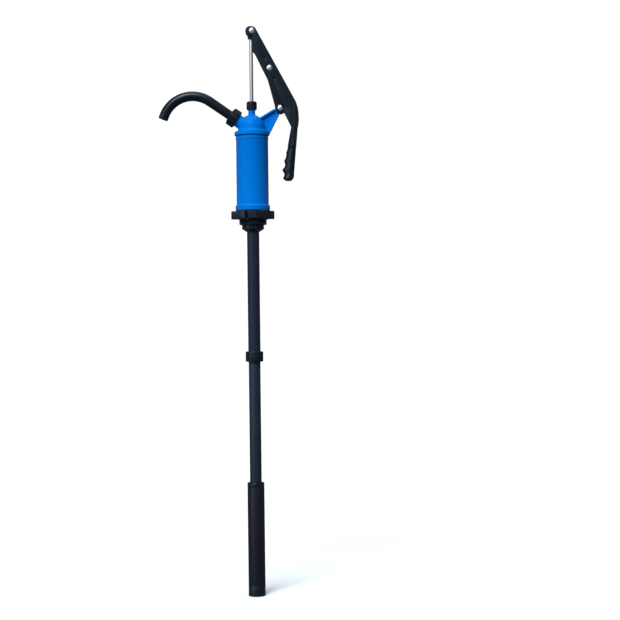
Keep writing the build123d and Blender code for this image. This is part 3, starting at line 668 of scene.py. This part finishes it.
laid = add(
    heads_tree,
    "GeometryNodeTransform",
    {0: shank.outputs["Mesh"], "Translation": shank_place.outputs[0], "Rotation": (math.pi / 2, 0, 0)},
)
bolt = add(heads_tree, "GeometryNodeJoinGeometry")
heads_tree.links.new(dome.outputs[0], bolt.inputs[0])
heads_tree.links.new(laid.outputs[0], bolt.inputs[0])
bolts = add(
    heads_tree,
    "GeometryNodeInstanceOnPoints",
    {"Points": given["Geometry"], "Instance": bolt.outputs[0]},
)
close_tree(heads_tree, bolts.outputs[0], given["Finish"])


def joined(name, *meshes):
    """Several meshes as one piece."""
    work = bmesh.new()
    for mesh in meshes:
        work.from_mesh(mesh)
    whole = bpy.data.meshes.new(name)
    work.to_mesh(whole)
    work.free()
    return new_piece(name, whole)


def skinned(name, loops):
    """A closed mesh over equal loops of points in metres, with a face across each end."""
    work = bmesh.new()
    rings = [[work.verts.new(point) for point in loop] for loop in loops]
    for lower, upper in zip(rings, rings[1:]):
        for i in range(len(lower)):
            j = (i + 1) % len(lower)
            work.faces.new((lower[i], lower[j], upper[j], upper[i]))
    work.faces.new(rings[0])
    work.faces.new(rings[-1])
    mesh = bpy.data.meshes.new(name)
    work.to_mesh(mesh)
    work.free()
    return mesh


def rib_ring(name, node, count, radius, width, depth, bottom, top):
    """A ring of upright ribs between two heights, in a node's material."""
    sizes = {"Count": count, "Radius": radius * MM, "Height": (top - bottom) * MM}
    sizes |= {"Width": width * MM, "Depth": depth * MM, "Finish": materials[slot_of[node]]}
    mesh = grown(name, ribs_tree, sizes)
    mesh.transform(Matrix.Translation((0, 0, (top + bottom) / 2 * MM)))
    return mesh


def ribbed(name, outline, node, facets, ribs_round, place=None):
    """A turned nut with ribs round it, given as (count, radius, width, depth, bottom, top)."""
    turned_part = lathe(name + "_core", outline, facets)
    meshes = [turned_part.data] + [rib_ring(name + "_ribs", node, *sizes) for sizes in ribs_round]
    bpy.data.objects.remove(turned_part)
    piece = joined(name, *meshes)
    if place:
        piece.data.transform(place)
    return finished(piece, node)


# ==== barrel, its foot and its adaptor ====

BARREL_WALL = 3.5
BARREL_FLOOR = 6.0
BARREL_ROUNDING = 1.3
FOOT_FLANGE_STEP = 2.5  # of the foot flange outside the barrel
FOOT_FLANGE_HEIGHT = 10.6
FOOT_FLANGE_SLOPE = 1.2
SPIGOT_RADIUS = 18.0
INLET_RADIUS = 12.0
BARREL_BEAD_BOTTOM, BARREL_BEAD_TOP, BARREL_BEAD_OUTSIDE = 168.5, 172.8, 34.6
flange_radius, spigot_foot, barrel_top = reach("barrel")
ring_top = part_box("bung_adaptor")[1].z / MM
skin_radius = flange_radius - FOOT_FLANGE_STEP
flange_top = ring_top + FOOT_FLANGE_HEIGHT
bore_radius = skin_radius - BARREL_WALL

finished(
    lathe(
        "pump_barrel",
        rounded(
            (
                (INLET_RADIUS, spigot_foot),
                (SPIGOT_RADIUS, spigot_foot),
                (SPIGOT_RADIUS, ring_top),
                (flange_radius, ring_top),
                (flange_radius, flange_top),
                (skin_radius, flange_top + FOOT_FLANGE_SLOPE),
                (skin_radius, BARREL_BEAD_BOTTOM),
                (BARREL_BEAD_OUTSIDE, BARREL_BEAD_BOTTOM),
                (BARREL_BEAD_OUTSIDE, BARREL_BEAD_TOP),
                (skin_radius, BARREL_BEAD_TOP),
                (skin_radius, barrel_top),
                (bore_radius, barrel_top),
                (bore_radius, ring_top + BARREL_FLOOR),
                (INLET_RADIUS, ring_top + BARREL_FLOOR),
            ),
            BARREL_ROUNDING,
        ),
        128,
    ),
    "barrel",
)

THREAD_RADIUS = 29.8
THREAD_PITCH = 2.309
THREAD_DEPTH = 1.48
THREAD_LENGTH = 12.0
THREAD_END = 0.3  # plain stub left at each end of the thread


def slim_thread_stub(work):
    """Turns the stub down to the thread's root."""
    for vertex in work.verts:
        radius = math.hypot(vertex.co.x, vertex.co.y)
        if vertex.co.z < 0.0001 and abs(radius - THREAD_RADIUS * MM) < 0.0002:
            slim = (THREAD_RADIUS - THREAD_DEPTH) * MM / radius
            vertex.co.x *= slim
            vertex.co.y *= slim


softened("bung_hand_ring", "bung_adaptor", 0.9, reshape=slim_thread_stub)
RING_RADIUS = 35.0
RING_RIBS = (42, RING_RADIUS, 2.4, 0.9, 2.0, ring_top - 2.0)  # in the order that rib_ring takes
trim(new_piece("hand_ring_ribs", rib_ring("hand_ring_ribs", "bung_adaptor", *RING_RIBS)), "bung_adaptor")
thread_mesh = grown(
    "bung_thread",
    thread_tree,
    {
        "Core Radius": (THREAD_RADIUS - THREAD_DEPTH) * MM,
        "Ridge": THREAD_DEPTH * MM,
        "Pitch": THREAD_PITCH * MM,
        "Length": (THREAD_LENGTH - THREAD_PITCH - 2 * THREAD_END) * MM,
        "Finish": materials["black_pp"],
    },
)
thread_foot = -(THREAD_LENGTH - THREAD_PITCH / 2 - THREAD_END)
thread_mesh.transform(Matrix.Translation((0, 0, thread_foot * MM)))
trim(new_piece("bung_thread", thread_mesh), "bung_adaptor")

# ==== suction tubes ====

nut_radius, nut_bottom, nut_top = reach("tube_nut")
NUT_TAPER = 5.0
NUT_LIP = 2.0
NUT_FLOOR = 5.0
NUT_GAP = 0.15
TUBE_RADIUS = 13.0
TUBE_BORE = 11.0
TUBE_WALL = 2.0
TUBE_FLANGE_HEIGHT = 2.0
ribbed(
    "suction_tube_nut",
    rounded(
        (
            (SPIGOT_RADIUS + NUT_GAP, nut_top),
            (nut_radius - 1.0, nut_top),
            (nut_radius - 1.0, nut_bottom + NUT_TAPER),
            (TUBE_RADIUS + NUT_GAP + NUT_LIP, nut_bottom),
            (TUBE_RADIUS + NUT_GAP, nut_bottom),
            (TUBE_RADIUS + NUT_GAP, nut_bottom + NUT_FLOOR),
            (SPIGOT_RADIUS + NUT_GAP, nut_bottom + NUT_FLOOR),
        ),
        0.7,
    ),
    "tube_nut",
    96,
    [(20, nut_radius - 1.0, 3.0, 1.0, nut_bottom + NUT_TAPER - 0.4, nut_top - 0.8)],
)


def pipe(name, node, wall, facets=72, lip=0.6):
    """A plain length of pipe with eased ends."""
    radius, bottom, top = reach(node)
    outline = ((radius - wall, bottom), (radius, bottom), (radius, top), (radius - wall, top))
    return finished(lathe(name, rounded(outline, lip), facets), node)


flange, tube_foot, tube_head = reach("upper_tube")
finished(
    lathe(
        "upper_suction_tube",
        rounded(
            (
                (TUBE_BORE, tube_foot),
                (TUBE_RADIUS, tube_foot),
                (TUBE_RADIUS, tube_head - TUBE_FLANGE_HEIGHT),
                (flange, tube_head - TUBE_FLANGE_HEIGHT),
                (flange, tube_head),
                (TUBE_BORE, tube_head),
            ),
            0.6,
        ),
        72,
    ),
    "upper_tube",
)
pipe("middle_suction_tube", "middle_tube", TUBE_WALL)
pipe("lower_suction_tube", "lower_tube", TUBE_WALL)

coupling_radius, coupling_bottom, coupling_top = reach("tube_coupling")
COUPLING_STOP = 12.5
coupling_middle = (coupling_bottom + coupling_top) / 2
ribbed(
    "tube_coupling_sleeve",
    rounded(
        (
            (TUBE_RADIUS, coupling_top),
            (coupling_radius - 1.6, coupling_top),
            (coupling_radius - 0.7, coupling_top - 1.2),
            (coupling_radius - 0.7, coupling_middle + 1.6),
            (coupling_radius, coupling_middle + 1.2),
            (coupling_radius, coupling_middle - 1.2),
            (coupling_radius - 0.7, coupling_middle - 1.6),
            (coupling_radius - 0.7, coupling_bottom + 1.2),
            (coupling_radius - 1.6, coupling_bottom),
            (COUPLING_STOP, coupling_bottom),
            (COUPLING_STOP, coupling_middle),
            (TUBE_RADIUS, coupling_middle),
        ),
        0.5,
    ),
    "tube_coupling",
    96,
    [
        (26, coupling_radius - 0.8, 2.2, 0.75, coupling_middle + 1.5, coupling_top - 1.5),
        (26, coupling_radius - 0.8, 2.2, 0.75, coupling_bottom + 1.5, coupling_middle - 1.5),
    ],
)
softened("lower_tube_cap", "tube_cap", 0.8)
softened("suction_strainer", "foot_strainer", 0.5)

# ==== head, gland and rod ====

softened("pump_head_casting", "pump_head", 1.0)

gland_radius, gland_bottom, gland_top = reach("gland_nut")
NECK_HOLE = 7.55
ROD_HOLE = 4.6
GLAND_ROOF = 2.0
ribbed(
    "gland_cap_nut",
    rounded(
        (
            (NECK_HOLE, gland_bottom),
            (gland_radius - 1.4, gland_bottom),
            (gland_radius - 0.7, gland_bottom + 1.4),
            (gland_radius - 0.7, gland_top - 1.8),
            (gland_radius - 2.2, gland_top),
            (ROD_HOLE, gland_top),
            (ROD_HOLE, gland_top - GLAND_ROOF),
            (NECK_HOLE, gland_top - GLAND_ROOF),
        ),
        0.6,
    ),
    "gland_nut",
    72,
    [(16, gland_radius - 0.9, 2.4, 0.9, gland_bottom + 1.2, gland_top - 2.0)],
)

rod_radius, rod_foot, rod_top = reach("piston_rod")
rod_outline = ((0, rod_foot), (rod_radius, rod_foot), (rod_radius, rod_top), (0, rod_top))
finished(lathe("piston_rod_bar", rounded(rod_outline, 0.5), 48), "piston_rod")

# ==== outlet nut and spout ====

OUTLET_RISE = math.radians(35.0)
OUTLET_HEIGHT = 188.0
outlet_way = Vector((-math.cos(OUTLET_RISE), 0, math.sin(OUTLET_RISE)))
outlet_lean = Matrix.Rotation(-(math.pi / 2 - OUTLET_RISE), 4, "Y")
outlet_place = Matrix.Translation((0, 0, OUTLET_HEIGHT * MM)) @ outlet_lean
UNION_START, UNION_END, UNION_RADIUS = 38.0, 55.6, 19.5
UNION_HOLE, UNION_LIP_HOLE, UNION_LIP = 13.6, 10.05, 2.3
ribbed(
    "outlet_union_nut",
    rounded(
        (
            (UNION_HOLE, UNION_START),
            (UNION_RADIUS - 1.6, UNION_START),
            (UNION_RADIUS - 1.0, UNION_START + 1.0),
            (UNION_RADIUS - 1.0, UNION_END - 2.0),
            (UNION_RADIUS - 2.6, UNION_END),
            (UNION_LIP_HOLE, UNION_END),
            (UNION_LIP_HOLE, UNION_END - UNION_LIP),
            (UNION_HOLE, UNION_END - UNION_LIP),
        ),
        0.7,
    ),
    "union_nut",
    96,
    [(12, UNION_RADIUS - 1.5, 5.0, 1.5, UNION_START + 0.6, UNION_END - 1.6)],
    outlet_place,
)

SPOUT_START, SPOUT_ROOT_RADIUS, SPOUT_RADIUS = 51.0, 9.75, 10.4
SPOUT_STRAIGHT_END, BEND_RADIUS, BEND_TURN, MOUTH_LENGTH = 108.5, 64.0, math.radians(104.0), 8.0
SPOUT_WALL = 2.0
ROOT_LENGTH = 3.0  # past the nut, where the spout starts to widen
ROOT_SPREAD = 0.1
ROOT_STEPS = 9
BEND_STEPS = 48
# how far back from the spout's end, and how much radius is lost there
MOUTH_ROUNDING = ((4.0, 0.0), (1.6, 0.0), (0.8, 0.15), (0.3, 0.4), (0.0, 0.75))
outlet_origin = Vector((0, 0, OUTLET_HEIGHT))
bend_start = outlet_origin + outlet_way * SPOUT_STRAIGHT_END
bend_normal = Vector((-outlet_way.z, 0, outlet_way.x))
bend_centre = bend_start + bend_normal * BEND_RADIUS
widening_start = UNION_END + ROOT_LENGTH
widening_radius = SPOUT_ROOT_RADIUS + ROOT_SPREAD
stations = [
    (outlet_origin + outlet_way * SPOUT_START, SPOUT_ROOT_RADIUS),
    (outlet_origin + outlet_way * UNION_END, SPOUT_ROOT_RADIUS),
]
for step in range(ROOT_STEPS):
    t = step / ROOT_STEPS
    distance = widening_start + (SPOUT_STRAIGHT_END - widening_start) * t
    radius = widening_radius + (SPOUT_RADIUS - widening_radius) * t
    stations.append((outlet_origin + outlet_way * distance, radius))
for step in range(BEND_STEPS + 1):
    turn = BEND_TURN * step / BEND_STEPS
    spoke = Matrix.Rotation(-turn, 3, "Y") @ -bend_normal
    stations.append((bend_centre + spoke * BEND_RADIUS, SPOUT_RADIUS))
mouth_way = Matrix.Rotation(-BEND_TURN, 3, "Y") @ outlet_way
mouth_start = stations[-1][0]
for back, lost in MOUTH_ROUNDING:
    stations.append((mouth_start + mouth_way * (MOUTH_LENGTH - back), SPOUT_RADIUS - lost))
path = bpy.data.meshes.new("spout_path")
path.from_pydata([p * MM for p, _ in stations], [(i, i + 1) for i in range(len(stations) - 1)], [])
station_radius = path.attributes.new("station_radius", "FLOAT", "POINT")
station_radius.data.foreach_set("value", [r * MM for _, r in stations])
spout_mesh = grown(
    "curved_spout", tube_tree, {"Facets": 64, "Wall": SPOUT_WALL * MM, "Finish": materials["black_pp"]}, path
)
finished(new_piece("curved_spout", spout_mesh), "spout")

# ==== linkage ====

softened("hand_lever_channel", "lever", 0.9)

# a rounded bead along each cheek, beside the lever's outer edge, from the elbow down to the grip
LEVER_BEAD_PATH = (
    (88.2, 249.0),
    (91.2, 236.0),
    (92.6, 218.0),
    (91.2, 203.0),
    (89.2, 188.0),
    (85.9, 153.0),
)
LEVER_BEAD_RADIUS = 2.3
LEVER_BEAD_START_SHARE = 0.35  # of its radius, where it starts
LEVER_BEAD_SUNK = 0.9  # how far the bead's middle lies under the lever's face
LEVER_BEAD_SEGMENTS = 24
depth_way = Vector((0, 1, 0))
lever_low, lever_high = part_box("lever")
beads = []
for side, face in ((-1, lever_low.y), (1, lever_high.y)):
    loops = []
    for i, (x, z) in enumerate(LEVER_BEAD_PATH):
        before = LEVER_BEAD_PATH[max(i - 1, 0)]
        after = LEVER_BEAD_PATH[min(i + 1, len(LEVER_BEAD_PATH) - 1)]
        across = Vector((after[1] - before[1], 0, before[0] - after[0])).normalized()
        radius = LEVER_BEAD_RADIUS * (LEVER_BEAD_START_SHARE if i == 0 else 1.0) * MM
        centre = Vector((x * MM, face - side * LEVER_BEAD_SUNK * MM, z * MM))
        loop = []
        for k in range(LEVER_BEAD_SEGMENTS):
            turn = 2 * math.pi * k / LEVER_BEAD_SEGMENTS
            loop.append(centre + (across * math.cos(turn) + depth_way * math.sin(turn)) * radius)
        loops.append(loop)
    beads.append(skinned("lever_bead", loops))
trim(joined("lever_edge_beads", *beads), "lever")

softened("link_arm", "link", 0.8)
softened("rod_end_boss", "rod_end", 0.9)
softened("rod_end_lock_nut", "rod_end_nut", 0.5)
softened("link_lock_nut", "link_nut", 0.5)
softened("ear_lock_nut", "ear_nut", 0.5)

HEAD_RADIUS, HEAD_RISE, SHANK_RADIUS = 6.5, 3.4, 3.0


def bolt_head(name, node, shank):
    """A domed bolt along Y where a node's bolt is, with a shank of the given length in metres."""
    low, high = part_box(node)
    spots_mesh = bpy.data.meshes.new(name + "_spots")
    spots_mesh.from_pydata([((low.x + high.x) / 2, low.y + HEAD_RISE * MM, (low.z + high.z) / 2)], [], [])
    sizes = {"Radius": HEAD_RADIUS * MM, "Rise": HEAD_RISE * MM, "Shank Radius": SHANK_RADIUS * MM}
    return grown(name, heads_tree, sizes | {"Shank Length": shank, "Finish": materials["zinc"]}, spots_mesh)


for name, node in (("rod_end_domed_bolt", "rod_end_bolt"), ("ear_domed_bolt", "ear_bolt")):
    low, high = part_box(node)
    finished(new_piece(name, bolt_head(name, node, high.y - low.y - HEAD_RISE * MM)), node)

LINK_STUB_LENGTH = 4.0
LINK_TAIL_LENGTH = 10.0
low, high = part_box("link_bolt")
stub = bolt_head("link_bolt_head", "link_bolt", LINK_STUB_LENGTH * MM)
tail_start = Vector(((low.x + high.x) / 2, high.y - LINK_TAIL_LENGTH * MM, (low.z + high.z) / 2))
tail_outline = ((0, 0), (SHANK_RADIUS, 0), (SHANK_RADIUS, LINK_TAIL_LENGTH), (0, LINK_TAIL_LENGTH))
tail = lathe(
    "link_bolt_tail",
    rounded(tail_outline, 0.5),
    32,
    Matrix.Translation(tail_start) @ Matrix.Rotation(-math.pi / 2, 4, "X"),
)
link_bolt = joined("link_domed_bolt", stub, tail.data)
bpy.data.objects.remove(tail)
finished(link_bolt, "link_bolt")

# ==== grip ====

GRIP_HALF_DEPTH = 14.0
GRIP_INSET = 0.5  # of the grip's sides inside its half depth
GRIP_END_GAP = 0.05
SPAN_ABOVE, SPAN_BELOW = 0.6, 0.3  # its edges are looked up no nearer than this to its bottom and top
GRIP_SQUARENESS = 2.4
grip_low, grip_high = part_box("grip_sleeve")
grip_mesh = frame["nodes"]["grip_sleeve"].data
grip_edges = [[grip_mesh.vertices[i].co / MM for i in edge.vertices] for edge in grip_mesh.edges]


def grip_span(height):
    """The grip's inner and outer edge at a height."""
    found = []
    for a, b in grip_edges:
        if (a.z - height) * (b.z - height) <= 0 and abs(a.z - b.z) > 1e-6:
            found.append(a.x + (b.x - a.x) * (height - a.z) / (b.z - a.z))
    return min(found), max(found)


def bell(value, middle, width):
    """A smooth hump of height 1."""
    return math.exp(-(((value - middle) / width) ** 2))


GRIP_SEGMENTS = 96
GRIP_STATIONS = 120
FINGER_BUMPS = ((141.0, 1.3, 2.4), (122.8, 0.6, 2.8), (103.0, 0.6, 2.8))  # height, rise and half length
COLLAR = (1.7, 0.45, 0.75)  # below the top, rise and half length
END_ROUNDING = 3.5
END_SHARE = 0.80  # of the section's size, at the very end
HOLLOW_DEPTH = 2.4
HOLLOW_START, HOLLOW_RUN_IN = 5.0, 8.0  # above the grip's bottom
HOLLOW_END, HOLLOW_RUN_OUT = 3.0, 4.0  # below its top
HOLLOW_SIDE, HOLLOW_WIDTH = 0.45, 1.1  # as shares of the section's half width


def held(share):
    """A share kept between 0 and 1."""
    return min(1.0, max(0.0, share))


def superellipse(part):
    """A sine or cosine pushed outwards, so that a round section squares up."""
    return math.copysign(abs(part) ** (2 / GRIP_SQUARENESS), part)


grip_bottom, grip_top = grip_low.z / MM, grip_high.z / MM
loops_start = grip_bottom + GRIP_END_GAP
loops_length = grip_top - grip_bottom - 2 * GRIP_END_GAP
grip_loops = []
for station in range(GRIP_STATIONS + 1):
    height = loops_start + loops_length * station / GRIP_STATIONS
    inner, outer = grip_span(min(max(height, grip_bottom + SPAN_ABOVE), grip_top - SPAN_BELOW))
    inner -= sum(rise * bell(height, middle, half) for middle, rise, half in FINGER_BUMPS)
    band = COLLAR[1] * bell(height, grip_top - COLLAR[0], COLLAR[2])
    ease = max(0.0, 1 - (height - grip_bottom) / END_ROUNDING)
    fullness = END_SHARE + (1 - END_SHARE) * math.sqrt(1 - ease * ease)
    middle_x = (inner + outer) / 2
    half_x = (outer - inner) / 2 * fullness + band
    half_y = (GRIP_HALF_DEPTH - GRIP_INSET) * fullness + band
    hollow_here = HOLLOW_DEPTH * held((height - grip_bottom - HOLLOW_START) / HOLLOW_RUN_IN)
    hollow_here *= held((grip_top - HOLLOW_END - height) / HOLLOW_RUN_OUT)
    loop = []
    for i in range(GRIP_SEGMENTS):
        turn = 2 * math.pi * i / GRIP_SEGMENTS
        across, deep = superellipse(math.cos(turn)), superellipse(math.sin(turn))
        slope = held((HOLLOW_SIDE - across) / HOLLOW_WIDTH)
        y = deep * (half_y - hollow_here * slope * slope * (3 - 2 * slope))
        loop.append(((middle_x + across * half_x) * MM, y * MM, height * MM))
    grip_loops.append(loop)
finished(new_piece("finger_grip", skinned("finger_grip", grip_loops)), "grip_sleeve")

# ==== floor and light ====

FLOOR_SIZE = 40.0  # metres each way from the middle
FLOOR_GAP = 0.0002  # metres below the pump
BOARD_GRAIN = 60
floor_height = cad_box[0].z - FLOOR_GAP
corners = [(x * FLOOR_SIZE, y * FLOOR_SIZE, floor_height) for x, y in ((-1, -1), (1, -1), (1, 1), (-1, 1))]
floor_mesh = bpy.data.meshes.new("floor")
floor_mesh.from_pydata(corners, [], [(0, 1, 2, 3)])
floor = bpy.data.objects.new("floor", floor_mesh)
scene.collection.objects.link(floor)
floor_finish, tree = surface("matt_white_board")
place = add(tree, "ShaderNodeTexCoord").outputs["Object"]
board = add(tree, "ShaderNodeTexNoise", {"Vector": place, "Scale": per(BOARD_GRAIN), "Detail": 2.0})
paper = blend(tree, board.outputs["Fac"], linear("#FAFAFA"), linear("#F7F7F7"))
matt = add(tree, "ShaderNodeBsdfPrincipled", {"Base Color": paper, "Roughness": 0.9})
add(tree, "ShaderNodeOutputMaterial", {"Surface": matt.outputs[0]})
floor_mesh.materials.append(floor_finish)
floor.visible_diffuse = False
floor.visible_glossy = False

# the backdrop is white to the camera, and a dim blue-grey to everything that it lights
BACKDROP = (1.05, 1.05, 1.05, 1.0)
ROOM = (0.17, 0.19, 0.22, 1.0)
world = bpy.data.worlds.new("studio")
world.use_nodes = True
scene.world = world
tree = world.node_tree
tree.nodes.clear()
seen = add(tree, "ShaderNodeLightPath").outputs["Is Camera Ray"]
backdrop = add(tree, "ShaderNodeBackground", {"Color": blend(tree, seen, ROOM, BACKDROP)})
add(tree, "ShaderNodeOutputWorld", {"Surface": backdrop.outputs[0]})


def soft_sun(name, azimuth, elevation, strength, spread, tone):
    """A broad even light from a direction, azimuth 0 being the camera's side and positive towards +X."""
    light = bpy.data.lights.new(name, "SUN")
    light.energy = strength
    light.angle = math.radians(spread)
    light.color = tone
    lamp = bpy.data.objects.new(name, light)
    a, e = math.radians(azimuth), math.radians(elevation)
    source = Vector((math.sin(a) * math.cos(e), -math.cos(a) * math.cos(e), math.sin(e)))
    lamp.rotation_euler = source.to_track_quat("Z", "Y").to_euler()
    scene.collection.objects.link(lamp)


soft_sun("key", -20, 44, 3.35, 30, (0.93, 0.98, 1.0))
soft_sun("side", -48, 8, 0.8, 40, (0.80, 0.95, 1.0))
soft_sun("top", 160, 76, 1.0, 50, (0.85, 0.95, 1.0))

scene.view_settings.view_transform = "Standard"
